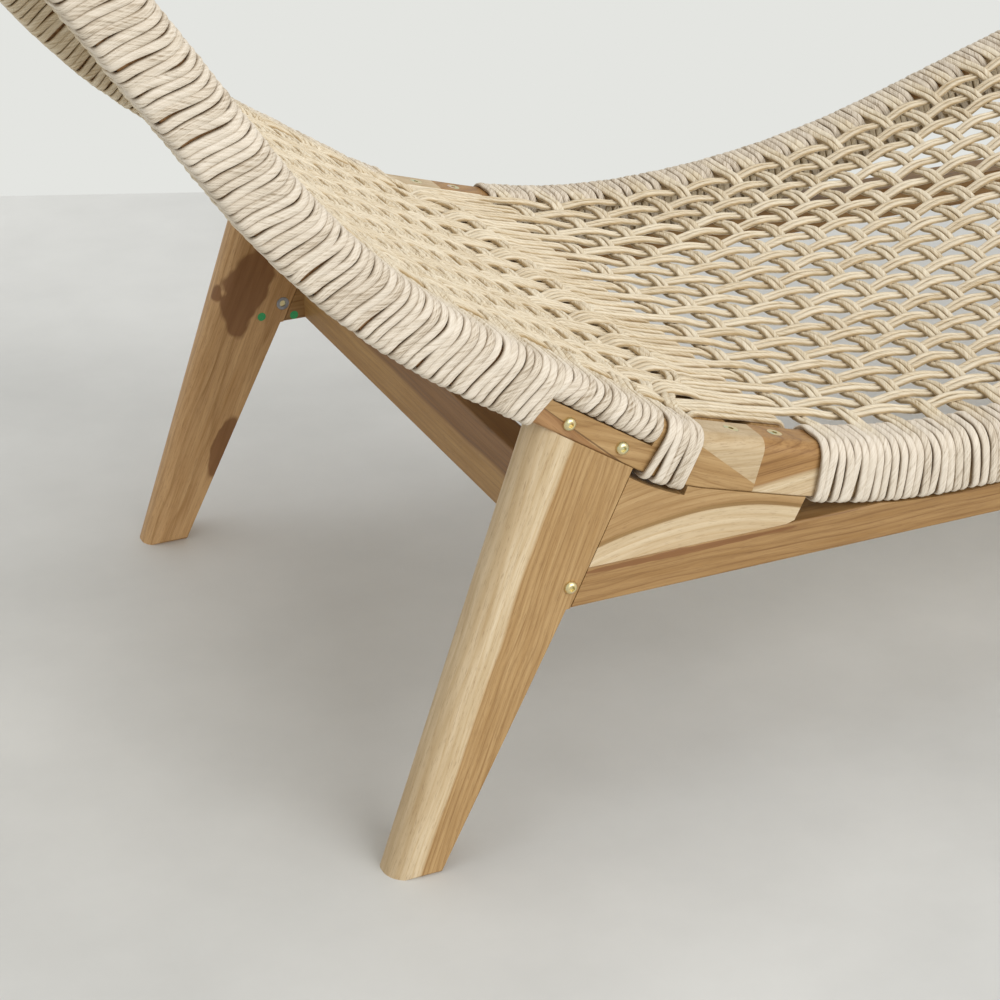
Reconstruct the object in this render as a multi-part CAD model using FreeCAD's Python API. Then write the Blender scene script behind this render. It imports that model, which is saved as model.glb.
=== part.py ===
import FreeCAD, Part
import math
import os

V = FreeCAD.Vector

# Sun lounger with a curved timber frame and a cord-woven back and seat. Millimetres and degrees.
# While it is built, X = 0 is the joint of back and seat, +X runs to the foot end, Y = 0 is the mid-plane and
# Z = 0 the floor. At the end everything moves along X until the origin is under the middle of the whole.

# Overall
HALF_WIDTH = 321.0  # mid-plane to the flush outer faces of rails, legs and stretchers
JOINT_HEIGHT = 289.5  # rail centre line where back and seat meet
JOINT_SLOPE = 16.3

# Back side rail, joint to head end
HEEL_LAP = 4.0  # the heel's bend starts this far before the bottom rail's far face
HEEL_RADIUS = 200.0
LEG_SLOPE = 32.8
LEG_RUN = 163.0
BACK_RADIUS = 560.0
BACK_SLOPE = 55.5
HEAD_RUN = 290.0

# Seat side rail, joint to foot end
HIP_LAP = 11.0  # the hip's bend starts this far before the rear rail's far face
HIP_RADIUS = 600.0
SEAT_RADIUS = 1000.0
SEAT_RISE = 18.0
THIGH_RUN = 150.0
KNEE_RADIUS = 300.0
CALF_SLOPE = 14.0
CALF_RUN = 330.0

# Side rail section and cord slot
RAIL_WIDTH = 42.0
RAIL_DEPTH = 42.0
RAIL_TOP_ROUND = 11.0
RAIL_EDGE_ROUND = 2.0
RAIL_END_CHAMFER = 4.0
BAR_DEPTH = 20.5  # bar below the cord slot, which the leg is bolted to
SLOT_HEIGHT = 7.0
SLOT_LENGTH = 96.0
SLOT_ROUND = 3.0
BACK_SLOT_INSET = 1.5  # from the start of the leg run
CALF_SLOT_INSET = 45.0  # from the start of the calf run
# scarf of the heel: its reach along the rail, and its ends above and below the centre line
HEEL_WEDGE_LENGTH = 52.0
HEEL_WEDGE_HIGH = 9.4
HEEL_WEDGE_LOW = 14.0
# scarf of the upper piece: from the slot's lower end, under it, to past its upper end
UPPER_SCARF_INSET = 14.0
UPPER_SCARF_DROP = 8.0
UPPER_SCARF_STEP = 2.0
UPPER_SCARF_REACH = 32.0

# Legs, stretchers, gussets, cross rails
LEG_THICKNESS = 38.0
LEG_MARGIN = 4.0  # leg top stays this far inside the slot's ends
LEG_OUT_RAKE = 18.8
LEG_IN_RAKE = 25.3
LEG_STEP = 3.0  # inner edge steps back under the stretcher
LEG_OUTER_ROUND = 20.0
LEG_INNER_ROUND = 14.0
LEG_EDGE_ROUND = 1.5
FOOT_LENGTH = 40.0
FOOT_CHAMFER = 2.5
TONGUE_THICKNESS = 19.0
TONGUE_HEIGHT = 18.0
STRETCHER_HEIGHT = 31.0
STRETCHER_ROUND = 2.0
TENON_LENGTH = 28.0
TENON_THICKNESS = 13.0
TENON_SHOULDER = 4.0
GUSSET_HEIGHT = 32.5  # rails' underside at the joint down to the stretcher
GUSSET_MARGIN = 3.0  # gusset's front tip to the wrapped part of the seat rail
BOARD_THICKNESS = 26.0
BOARD_HEIGHT = 62.0
BOARD_GAP = 6.0  # between a leg's inner edge and the cross rail board
BOARD_TENON = 15.0

# Frame rails that carry the ends of the weave
MEMBER_WIDTH = 34.0
MEMBER_DEPTH = 28.0
MEMBER_ROUND = 6.0
MEMBER_SINK = 2.0  # below the top of the side rails
MEMBER_TENON = 15.0
BACK_MEMBER_INSET = 4.5  # from the side rail's end to the wrapped bar
SEAT_MEMBER_INSET = 1.5

# Cord
CORD = 5.0
CORD_PITCH = 7.1
BAND_TURNS = 5
SLEEVE = 5.5
SKIN_GAP = 0.3
WRAP_GAP = 0.5  # between the wrapped bars at the ends and the wrapped side rails
SEAT_WRAP_GAP = 5.5
SLOT_WRAP_GAP = 0.7
BAND_INSET = 19.0  # from the start of the heel's bend
WEAVE_THICKNESS = 10.0

# Hardware
BOLT_RADIUS = 3.0
BOLT_HEAD_RADIUS = 5.25
BOLT_HEAD_HEIGHT = 3.3
SOCKET_WIDTH = 4.0
SOCKET_DEPTH = 2.0
NUT_RADIUS = 6.0
NUT_LENGTH = 10.0
BOLT_SPACING = 51.0
STRETCHER_BOLT_INSET = 9.0
STRETCHER_BOLT_RISE = 17.98
SCREW_HEAD_RADIUS = 6.0
SCREW_GRIP = 22.0  # screw length inside the gusset
BACK_SCREW_AT = 20.8
SEAT_SCREW_AT = 18.9
FIT = 0.2
GLUE_GAP = 0.15

HALF_DEPTH = RAIL_DEPTH / 2
RAIL_INSIDE = HALF_WIDTH - RAIL_WIDTH
RAIL_MIDDLE = HALF_WIDTH - RAIL_WIDTH / 2
LEG_INSIDE = HALF_WIDTH - LEG_THICKNESS
LEG_MIDDLE = HALF_WIDTH - LEG_THICKNESS / 2
STRETCHER_TOP = JOINT_HEIGHT - HALF_DEPTH - GUSSET_HEIGHT
STRETCHER_BASE = STRETCHER_TOP - STRETCHER_HEIGHT
SLOT_FLOOR = BAR_DEPTH - HALF_DEPTH
SLOT_ROOF = SLOT_FLOOR + SLOT_HEIGHT
TOP_ROUND = min(RAIL_TOP_ROUND, HALF_DEPTH - SLOT_ROOF - SLOT_ROUND - 0.5)  # leaves room for the slot's round
WRAPPED_WIDTH = MEMBER_WIDTH + 2 * SLEEVE
BACK_MEMBER_AT = BACK_MEMBER_INSET + WRAPPED_WIDTH / 2  # from the rail's end to the bar's middle
SEAT_MEMBER_AT = SEAT_MEMBER_INSET + WRAPPED_WIDTH / 2
HEEL_RUN = BACK_MEMBER_AT + MEMBER_WIDTH / 2 - HEEL_LAP
HIP_RUN = SEAT_MEMBER_AT + MEMBER_WIDTH / 2 - HIP_LAP
END_BARE = BACK_MEMBER_INSET + WRAPPED_WIDTH + WRAP_GAP
SEAT_WRAP_AT = SEAT_MEMBER_INSET + WRAPPED_WIDTH + SEAT_WRAP_GAP
GUSSET_REACH = SEAT_WRAP_AT - GUSSET_MARGIN
BAND_AT = HEEL_RUN + BAND_INSET
FAR = 2 * HALF_WIDTH


def slope(degrees):
    return math.tan(math.radians(degrees))


def line(a, b):
    return Part.LineSegment(a, b).toShape()


def prism(corners, y0, y1):
    """Polygon in the XZ plane, given as points, made solid from y0 to y1."""
    points = [V(p.x, y0, p.z) for p in corners]
    edges = [line(a, b) for a, b in zip(points, points[1:] + points[:1])]
    return Part.Face(Part.Wire(edges)).extrude(V(0, y1 - y0, 0))


def box(x0, x1, y0, y1, z0, z1):
    return Part.makeBox(x1 - x0, y1 - y0, z1 - z0, V(x0, y0, z0))


def rod(radius, start, end):
    return Part.makeCylinder(radius, (end - start).Length, start, end - start)


def middle(edge):
    return edge.valueAt((edge.FirstParameter + edge.LastParameter) / 2)


def edges_at(solid, points):
    return [e for e in solid.Edges if any((middle(e) - p).Length < 0.01 for p in points)]


def foot_bevel(y, inward, x0, x1):
    """Wedge that bevels a foot's lower edge along X."""
    c = FOOT_CHAMFER + 1
    corners = [V(x0, y - inward, c), V(x0, y + inward * c, -1), V(x0, y - inward, -1)]
    edges = [line(a, b) for a, b in zip(corners, corners[1:] + corners[:1])]
    return Part.Face(Part.Wire(edges)).extrude(V(x1 - x0, 0, 0))


def edges_on(solid, a, b, y):
    """Straight edges that lie along the line a to b at the given y."""
    start = V(a.x, y, a.z)
    way = (V(b.x, y, b.z) - start).normalize()
    return [e for e in solid.Edges if e.Length > LEG_THICKNESS
            and all((v.Point - start).cross(way).Length < 0.01 for v in e.Vertexes)]


class RailPath:
    """A side rail's centre line in the XZ plane: lines and arcs that meet in tangents."""

    def __init__(self, start, heading, side, runs):
        # side is +1 where "up" lies to the left of the way along, and a run's bend is positive towards up
        self.side = side
        self.runs = []
        self.length = 0.0
        point = start
        turned = math.radians(heading)
        for run_length, bend in runs:
            run = (self.length, run_length, point, turned, math.radians(bend))
            self.runs.append(run)
            point, turned = self.walk(run, run_length)
            self.length += run_length

    def walk(self, run, distance):
        _, run_length, point, heading, bend = run
        turn = self.side * bend * distance / run_length
        chord = distance if abs(turn) < 1e-9 else distance * math.sin(turn / 2) / (turn / 2)
        aim = heading + turn / 2
        return point + V(math.cos(aim), 0, math.sin(aim)) * chord, heading + turn

    def frame(self, s):
        """Point, way along and way up at the distance s from the joint."""
        run = [r for r in self.runs if r[0] <= s or r is self.runs[0]][-1]
        point, heading = self.walk(run, s - run[0])
        along = V(math.cos(heading), 0, math.sin(heading))
        return point, along, V(-along.z, 0, along.x) * self.side

    def at(self, s, n, y=0.0):
        point, _, up = self.frame(s)
        return point + up * n + V(0, y, 0)

    def pieces(self, s0, s1):
        stops = [s0] + [r[0] for r in self.runs if s0 + 1e-6 < r[0] < s1 - 1e-6] + [s1]
        return list(zip(stops, stops[1:]))

    def curve(self, s0, s1, n, y):
        edges = []
        for a, b in self.pieces(s0, s1):
            run = [r for r in self.runs if r[0] <= (a + b) / 2 or r is self.runs[0]][-1]
            ends = self.at(a, n, y), self.at(b, n, y)
            if run[4] == 0:
                edges.append(line(*ends))
            else:
                edges.append(Part.Arc(ends[0], self.at((a + b) / 2, n, y), ends[1]).toShape())
        return edges

    def strip(self, s0, s1, n0, n1, y0, y1, end_chamfer=0.0):
        """Solid that follows the rail from s0 to s1, between the offsets n0 and n1."""
        c = end_chamfer
        low = self.curve(s0, s1 - c, n0, y0)
        high = self.curve(s0, s1 - c, n1, y0)
        tip = [self.at(s, n, y0) for s, n in ((s1 - c, n0), (s1, n0 + c), (s1, n1 - c), (s1 - c, n1))]
        end = [line(a, b) for a, b in zip(tip, tip[1:]) if (a - b).Length > 1e-6]
        start = [line(self.at(s0, n1, y0), self.at(s0, n0, y0))]
        return Part.Face(Part.Wire(low + end + high[::-1] + start)).extrude(V(0, y1 - y0, 0))

    def rounded(self, s0, s1, n0, n1, y0, y1, round_low, round_high, end_chamfer=0.0):
        solid = self.strip(s0, s1, n0, n1, y0, y1, end_chamfer)
        for n, radius in ((n0, round_low), (n1, round_high)):
            spans = self.pieces(s0, s1 - end_chamfer)
            spots = [self.at((a + b) / 2, n, y) for a, b in spans for y in (y0, y1)]
            solid = solid.makeFillet(radius, edges_at(solid, spots))
        return solid

    def cross(self, s, half_along, n0, n1, y0, y1):
        """Straight bar across the lounger, square to the rail at s."""
        point, along, up = self.frame(s)
        corners = [point + along * a + up * n for a, n in
                   ((-half_along, n0), (half_along, n0), (half_along, n1), (-half_along, n1))]
        return prism(corners, y0, y1)


back = RailPath(V(0, 0, JOINT_HEIGHT), 180 - JOINT_SLOPE, -1, [
    (HEEL_RUN, 0),
    (HEEL_RADIUS * math.radians(LEG_SLOPE - JOINT_SLOPE), LEG_SLOPE - JOINT_SLOPE),
    (LEG_RUN, 0),
    (BACK_RADIUS * math.radians(BACK_SLOPE - LEG_SLOPE), BACK_SLOPE - LEG_SLOPE),
    (HEAD_RUN, 0),
])
seat = RailPath(V(0, 0, JOINT_HEIGHT), -JOINT_SLOPE, 1, [
    (HIP_RUN, 0),
    (HIP_RADIUS * math.radians(JOINT_SLOPE), JOINT_SLOPE),
    (SEAT_RADIUS * math.radians(SEAT_RISE), SEAT_RISE),
    (THIGH_RUN, 0),
    (KNEE_RADIUS * math.radians(SEAT_RISE + CALF_SLOPE), -SEAT_RISE - CALF_SLOPE),
    (CALF_RUN, 0),
])
back_slot = back.runs[2][0] + BACK_SLOT_INSET
seat_slot = seat.runs[5][0] + CALF_SLOT_INSET
LEG_PLACES = {"back": (back, back_slot, -1), "front": (seat, seat_slot, 1)}
MEMBER_TOP = HALF_DEPTH - MEMBER_SINK
MEMBERS = {
    "back_bottom": (back, BACK_MEMBER_AT),
    "back_top": (back, back.length - BACK_MEMBER_AT),
    "seat_rear": (seat, SEAT_MEMBER_AT),
    "seat_foot": (seat, seat.length - SEAT_MEMBER_AT),
}
SCREWS = ((back, BACK_SCREW_AT), (seat, SEAT_SCREW_AT))


class Leg:
    """Outline of a leg in the XZ plane. lean is the way along X that its foot is set out."""

    def __init__(self, path, slot, lean):
        self.path, self.slot, self.lean = path, slot, lean
        self.near = slot + LEG_MARGIN
        self.far = slot + SLOT_LENGTH - LEG_MARGIN
        self.top_in = path.at(self.near, -HALF_DEPTH)
        self.top_out = path.at(self.far, -HALF_DEPTH)
        self.foot_out = V(self.top_out.x + lean * self.top_out.z * slope(LEG_OUT_RAKE), 0, 0)
        self.foot_in = self.foot_out - V(lean * FOOT_LENGTH, 0, 0)
        self.elbow = V(self.inner_x(STRETCHER_BASE), 0, STRETCHER_BASE)
        self.step = self.elbow + V(lean * LEG_STEP, 0, 0)
        self.bolts = [path.at((self.near + self.far + k * BOLT_SPACING) / 2, BAR_DEPTH / 2 - HALF_DEPTH)
                      for k in (-1, 1)]
        height = STRETCHER_BASE + STRETCHER_BOLT_RISE
        self.low_bolt = V(self.inner_x(height) + lean * STRETCHER_BOLT_INSET, 0, height)

    def inner_x(self, z):
        return self.top_in.x + self.lean * (self.top_in.z - z) * slope(LEG_IN_RAKE)

    def tenon(self, gap):
        """Stretcher end inside the leg, from a little outside its inner edge."""
        ends = sorted((self.elbow.x - self.lean * STRETCHER_HEIGHT * 0.7,
                       self.elbow.x + self.lean * (TENON_LENGTH + gap)))
        half = TENON_THICKNESS / 2 + gap
        return box(ends[0], ends[1], LEG_MIDDLE - half, LEG_MIDDLE + half,
                   STRETCHER_BASE + TENON_SHOULDER - gap, STRETCHER_TOP - TENON_SHOULDER + gap)

    def tongue(self, gap):
        """Part of the leg that laps behind the rail's lower bar."""
        inside = min(LEG_INSIDE, RAIL_INSIDE) - gap if gap else LEG_INSIDE
        s0, s1 = self.near + LEG_MARGIN - gap, self.far - LEG_MARGIN + gap
        return self.path.strip(s0, s1, -HALF_DEPTH - 2 - gap, TONGUE_HEIGHT - HALF_DEPTH + gap,
                               inside, LEG_INSIDE + TONGUE_THICKNESS + gap)

    def solid(self):
        high_out = self.top_out + (self.top_out - self.foot_out) * 0.3
        high_in = self.top_in + (self.top_in - self.elbow) * 0.8
        outline = [self.foot_out, high_out, high_in, self.elbow, self.step, self.foot_in]
        body = prism(outline, LEG_INSIDE, HALF_WIDTH)
        for y, radius in ((HALF_WIDTH, LEG_OUTER_ROUND), (LEG_INSIDE, LEG_INNER_ROUND)):
            body = body.makeFillet(radius, edges_on(body, self.foot_out, high_out, y))
        inner = (self.foot_in, self.step), (self.elbow, high_in)
        rims = [edge for y in (LEG_INSIDE, HALF_WIDTH) for a, b in inner for edge in edges_on(body, a, b, y)]
        body = body.makeFillet(LEG_EDGE_ROUND, rims)
        for y, inward in ((HALF_WIDTH, -1), (LEG_INSIDE, 1)):
            body = body.cut(foot_bevel(y, inward, self.foot_in.x - 100, self.foot_in.x + 100))
        reach = 2 * SLOT_LENGTH
        body = body.cut(self.path.strip(self.near - reach, self.far + reach, -HALF_DEPTH, reach, 0, FAR))
        body = body.fuse(self.tongue(0)).removeSplitter()
        body = body.cut(self.tenon(FIT))
        for bolt in self.bolts + [self.low_bolt]:
            body = body.cut(rod(BOLT_RADIUS + FIT, bolt, bolt + V(0, FAR, 0)))
            body = body.cut(rod(NUT_RADIUS + FIT, bolt, bolt + V(0, LEG_INSIDE + NUT_LENGTH + FIT, 0)))
        return body


legs = {name: Leg(*place) for name, place in LEG_PLACES.items()}


def half_plane(a, b, reach=400.0):
    """Solid on the left of the line a to b, for cutting scarfs."""
    way = (b - a).normalize()
    left = V(-way.z, 0, way.x) * reach
    a, b = a - way * reach, b + way * reach
    return prism([a, b, b + left, a + left], 0, FAR)


def side_rail(path, slot):
    """A whole side rail with slot, leg pocket, mortises and holes, before it is parted at its scarfs."""
    rail = path.rounded(0, path.length, -HALF_DEPTH, HALF_DEPTH, RAIL_INSIDE, HALF_WIDTH,
                        RAIL_EDGE_ROUND, TOP_ROUND, RAIL_END_CHAMFER)
    rail = rail.cut(path.strip(slot, slot + SLOT_LENGTH, SLOT_FLOOR, SLOT_ROOF, 0, FAR))
    lips = [path.at(slot + SLOT_LENGTH / 2, SLOT_ROOF, y) for y in (RAIL_INSIDE, HALF_WIDTH)]
    rail = rail.makeFillet(SLOT_ROUND, edges_at(rail, lips))
    leg = next(item for item in legs.values() if item.path is path)
    rail = rail.cut(leg.tongue(FIT + 0.1))
    for bolt in leg.bolts:
        rail = rail.cut(rod(BOLT_RADIUS + FIT, bolt, bolt + V(0, FAR, 0)))
    for member_path, s in MEMBERS.values():
        if member_path is path:
            rail = rail.cut(member_tenon(path, s, FIT))
    for screw_path, s in SCREWS:
        if screw_path is path:
            rail = rail.cut(screw(path, s, FIT))
    return rail


def member_tenon(path, s, gap):
    low, high = MEMBER_TOP - MEMBER_DEPTH * 0.75, MEMBER_TOP - MEMBER_DEPTH * 0.25
    return path.cross(s, MEMBER_WIDTH / 4 + gap, low - gap, high + gap,
                      RAIL_INSIDE - 20, RAIL_INSIDE + MEMBER_TENON + gap)


def member_bar(path, s, grow, half_length):
    """Rounded bar of a frame rail, or of the cord skin around it when grow is above zero."""
    half = MEMBER_WIDTH / 2 + grow
    low, high = MEMBER_TOP - MEMBER_DEPTH - grow, MEMBER_TOP + grow
    bar = path.cross(s, half, low, high, -half_length, half_length)
    point, along, up = path.frame(s)
    spots = [point + along * a + up * n for a in (-half, half) for n in (low, high)]
    return bar.makeFillet(MEMBER_ROUND + grow, edges_at(bar, spots))


def member(path, s):
    tenon = member_tenon(path, s, 0)
    bar = member_bar(path, s, 0, RAIL_INSIDE)
    return bar.fuse([tenon, mirrored(tenon)]).removeSplitter()


def member_sleeve(path, s):
    half_length = RAIL_INSIDE - SKIN_GAP
    return member_bar(path, s, SLEEVE, half_length).cut(member_bar(path, s, SKIN_GAP, half_length + 1))


def rail_sleeve(path, s0, s1):
    """Closed skin of cord around a length of side rail."""
    def skin(grow, more):
        return path.rounded(s0 - more, s1 + more, -HALF_DEPTH - grow, HALF_DEPTH + grow, RAIL_INSIDE - grow,
                            HALF_WIDTH + grow, RAIL_EDGE_ROUND + grow, TOP_ROUND + grow)
    return skin(SLEEVE, 0).cut(skin(SKIN_GAP, 1))


def biarc(p0, t0, p1, t1):
    """Two arcs in space from p0 to p1 that keep the tangents t0 and t1."""
    chord = p1 - p0
    a = 2 * (t0.dot(t1) - 1)
    b = -2 * chord.dot(t0 + t1)
    c = chord.dot(chord)
    d = (-b - math.sqrt(b * b - 4 * a * c)) / (2 * a)
    d = d if d > 0 else (-b + math.sqrt(b * b - 4 * a * c)) / (2 * a)
    q0, q1 = p0 + t0 * d, p1 - t1 * d
    joint = (q0 + q1) * 0.5
    arcs = []
    for start, knee, end in ((p0, q0, joint), (joint, q1, p1)):
        half = (end - start).Length / 2
        flat = (start + end) * 0.5
        rise = half * math.tan(math.acos(min(1.0, half / (knee - start).Length)) / 2)
        arcs.append(Part.Arc(start, flat + (knee - flat).normalize() * rise, end).toShape())
    return arcs


def winding(path, s0, turns, low, high, inside, outside, round_low, round_high):
    """One unbroken cord of real turns around a bar. Offsets are those of the cord's own centre line."""
    point, along, up = path.frame(s0 + turns * CORD_PITCH / 2)
    centre = (inside + outside) / 2
    stops = [(centre, low, 0), (outside - round_low, low, 0), (outside, low + round_low, round_low),
             (outside, high - round_high, 0), (outside - round_high, high, round_high),
             (inside + round_high, high, 0), (inside, high - round_high, round_high),
             (inside, low + round_low, 0), (inside + round_low, low, round_low), (centre, low, 0)]
    ways = [(1, 0), (1, 0), (0, 1), (0, 1), (-1, 0), (-1, 0), (0, -1), (0, -1), (1, 0), (1, 0)]
    steps = [math.pi / 2 * b[2] or math.hypot(b[0] - a[0], b[1] - a[1]) for a, b in zip(stops, stops[1:])]
    lead = CORD_PITCH / sum(steps)
    edges = []
    travelled = 0.0

    def place(stop, distance):
        return point + along * (distance * lead - turns * CORD_PITCH / 2) + up * stop[1] + V(0, stop[0], 0)

    def aim(way):
        return (V(0, way[0], 0) + up * way[1] + along * lead).normalize()

    for _ in range(turns):
        for i, step in enumerate(steps):
            ends = place(stops[i], travelled), place(stops[i + 1], travelled + step)
            if stops[i + 1][2]:
                edges += biarc(ends[0], aim(ways[i]), ends[1], aim(ways[i + 1]))
            else:
                edges.append(line(*ends))
            travelled += step
    wire = Part.Wire(edges)
    ring = Part.Wire(Part.makeCircle(CORD / 2, place(stops[0], 0), aim(ways[0])))
    tube = wire.makePipeShell([ring], True, False)
    points = wire.discretize(Distance=2.0)
    skip = int(3 * CORD)
    least = min((a - b).Length for i, a in enumerate(points) for b in points[i + skip:]) if turns else 0
    print("winding turns", turns, "least gap to itself", round(least - CORD, 2))
    return tube


def slot_winding(path, slot):
    """Turns through the slot, around the upper bar only."""
    turns = int((SLOT_LENGTH - CORD - 1) / CORD_PITCH)
    off = CORD / 2 + 0.4
    s0 = slot + (SLOT_LENGTH - turns * CORD_PITCH) / 2
    return winding(path, s0, turns, SLOT_ROOF - off, HALF_DEPTH + off, RAIL_INSIDE - off, HALF_WIDTH + off,
                   SLOT_ROUND + off, TOP_ROUND)


def band_winding():
    """Full turns around the back rail between slot and joint."""
    off = CORD / 2 + 1.0
    return winding(back, BAND_AT, BAND_TURNS, -HALF_DEPTH - off, HALF_DEPTH + off, RAIL_INSIDE - off,
                   HALF_WIDTH + off, RAIL_EDGE_ROUND + off + 1, TOP_ROUND + off)


def stretcher():
    rear, front = legs["back"], legs["front"]
    ends = (rear, STRETCHER_BASE), (front, STRETCHER_BASE), (front, STRETCHER_TOP), (rear, STRETCHER_TOP)
    corners = [V(leg.inner_x(z), 0, z) for leg, z in ends]
    bar = prism(corners, LEG_INSIDE, HALF_WIDTH)
    long_edges = corners[:2], corners[2:]
    spots = [(a + b) * 0.5 + V(0, y, 0) for a, b in long_edges for y in (LEG_INSIDE, HALF_WIDTH)]
    bar = bar.makeFillet(STRETCHER_ROUND, edges_at(bar, spots))
    bar = bar.fuse([rear.tenon(0), front.tenon(0)]).removeSplitter()
    # shallow hollow that keeps the wrapped seat rail clear of the bar
    bar = bar.cut(seat.strip(SEAT_WRAP_AT, seat.runs[3][0], -HALF_DEPTH - SLEEVE - 0.6, 0, 0, FAR))
    for leg in (rear, front):
        bar = bar.cut(rod(BOLT_RADIUS + FIT, leg.low_bolt, leg.low_bolt + V(0, FAR, 0)))
        bar = bar.cut(board_tenon(leg, FIT))
    return bar


def gusset():
    leg = legs["back"]
    foot = V(leg.inner_x(STRETCHER_TOP), 0, STRETCHER_TOP)
    head = leg.top_in + (leg.top_in - leg.elbow) * 0.5
    tip = seat.at(GUSSET_REACH, -HALF_DEPTH)
    corners = [foot, V(tip.x - 16, 0, STRETCHER_TOP), V(tip.x - 9, 0, STRETCHER_TOP + 2), tip,
               seat.at(GUSSET_REACH, 0), V(0, 0, head.z), head]
    block = prism(corners, LEG_INSIDE, HALF_WIDTH)
    for path, length in ((back, leg.far), (seat, 2 * GUSSET_REACH)):
        block = block.cut(path.strip(0, length, -HALF_DEPTH - GLUE_GAP, 4 * RAIL_DEPTH, 0, FAR))
    # relief under the band of cord
    block = block.cut(back.strip(BAND_AT - 3, leg.far, -HALF_DEPTH - CORD - 2.5, 0, 0, FAR))
    for path, s in SCREWS:
        block = block.cut(screw(path, s, FIT))
    return block


def board_span(leg):
    near = leg.inner_x(STRETCHER_TOP) - leg.lean * BOARD_GAP
    return sorted((near, near - leg.lean * BOARD_THICKNESS))


def board_tenon(leg, gap):
    x0, x1 = board_span(leg)
    return box(x0 + BOARD_THICKNESS / 4 - gap, x1 - BOARD_THICKNESS / 4 + gap, LEG_INSIDE - 20,
               LEG_INSIDE + BOARD_TENON + gap, STRETCHER_BASE + TENON_SHOULDER - gap,
               STRETCHER_TOP - TENON_SHOULDER + gap)


def cross_board(leg):
    x0, x1 = board_span(leg)
    board = box(x0, x1, -LEG_INSIDE, LEG_INSIDE, STRETCHER_BASE, STRETCHER_BASE + BOARD_HEIGHT)
    long_edges = [e for e in board.Edges if e.Length > LEG_INSIDE]
    board = board.makeFillet(STRETCHER_ROUND, long_edges)
    tenon = board_tenon(leg, 0)
    return board.fuse([tenon, mirrored(tenon)]).removeSplitter()


def weave(path, s0, s1):
    """The woven cloth between the wrapped rails, as one closed sheet."""
    half = RAIL_INSIDE - SLEEVE - 1.0
    top = HALF_DEPTH + SLEEVE - 1.0
    return path.strip(s0, s1, top - WEAVE_THICKNESS, top, -half, half)


def hexagon(width, start, end):
    way = (end - start).normalize()
    side = way.cross(V(1, 0, 0)) if abs(way.x) < 0.9 else way.cross(V(0, 1, 0))
    side = side.normalize() * (width / math.sqrt(3))
    turn = [FreeCAD.Rotation(way, 60 * k).multVec(side) + start for k in range(6)]
    edges = [line(a, b) for a, b in zip(turn, turn[1:] + turn[:1])]
    return Part.Face(Part.Wire(edges)).extrude(end - start)


def bolt(spot):
    """Button-head bolt with hex socket, head on the outer face, ending in the insert nut."""
    r, h = BOLT_HEAD_RADIUS, BOLT_HEAD_HEIGHT
    rim, crown = h * 0.2, r * 0.55
    face = [V(0, 0, 0), V(r, 0, 0), V(r, rim, 0), V(r * 0.85, h * 0.75, 0), V(crown, h, 0), V(0, h, 0)]
    edges = [line(face[0], face[1]), line(face[1], face[2]), Part.Arc(face[2], face[3], face[4]).toShape(),
             line(face[4], face[5]), line(face[5], face[0])]
    head = Part.Face(Part.Wire(edges)).revolve(V(0, 0, 0), V(0, 1, 0), 360)
    head.translate(spot + V(0, HALF_WIDTH, 0))
    top = spot + V(0, HALF_WIDTH + h, 0)
    shank = rod(BOLT_RADIUS, spot + V(0, LEG_INSIDE + 1, 0), spot + V(0, HALF_WIDTH + 0.5, 0))
    return head.fuse(shank).cut(hexagon(SOCKET_WIDTH, top - V(0, SOCKET_DEPTH, 0), top + V(0, 1, 0)))


def nut(spot):
    y0, y1 = LEG_INSIDE, LEG_INSIDE + NUT_LENGTH
    ring = rod(NUT_RADIUS, spot + V(0, y0, 0), spot + V(0, y1, 0))
    return ring.cut(rod(BOLT_RADIUS + 0.05, spot + V(0, y0 - 1, 0), spot + V(0, y1 + 1, 0)))


def screw(path, s, gap):
    """Countersunk screw from the top of a rail end into the gusset, or its hole when gap is above zero."""
    top = path.at(s, HALF_DEPTH, RAIL_MIDDLE)
    _, _, up = path.frame(s)
    depth = SCREW_HEAD_RADIUS - BOLT_RADIUS
    cone = Part.makeCone(BOLT_RADIUS + gap, SCREW_HEAD_RADIUS + gap, depth, top - up * depth, up)
    shank = rod(BOLT_RADIUS + gap, top - up * (RAIL_DEPTH + SCREW_GRIP + gap), top - up * (depth - 0.01))
    if gap:
        return cone.fuse([shank, rod(SCREW_HEAD_RADIUS + gap, top, top + up * 5)])
    return cone.fuse(shank).cut(hexagon(SOCKET_WIDTH, top - up * SOCKET_DEPTH, top + up))


def mirrored(shape):
    return shape.mirror(V(0, 0, 0), V(0, 1, 0))


def both_sides(solids):
    return Part.makeCompound(solids + [mirrored(s) for s in solids])


nodes = {}
left = {}

# Back rail, parted along the scarf under the leg bolts and along the wedge at the heel
whole = side_rail(back, back_slot)
low_end = back_slot + UPPER_SCARF_INSET
slot_end = back_slot + SLOT_LENGTH
high_end = slot_end + UPPER_SCARF_REACH
corners = [back.at(low_end, -HALF_DEPTH - 2),
           back.at(slot_end + UPPER_SCARF_STEP, SLOT_FLOOR - UPPER_SCARF_DROP),
           back.at(high_end, HALF_DEPTH + 2)]
beyond = [back.at(high_end, 300), back.at(back.length + 300, 300), back.at(back.length + 300, -500),
          back.at(low_end, -500)]
upper_side = prism(corners + beyond, 0, FAR)
heel_side = half_plane(back.at(HEEL_WEDGE_LENGTH, HEEL_WEDGE_HIGH), back.at(0, -HEEL_WEDGE_LOW))
left["back_rail_upper"] = whole.common(upper_side)
rest = whole.cut(upper_side)
left["back_rail_heel"] = rest.common(heel_side)
left["back_rail_middle"] = rest.cut(heel_side)

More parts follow.
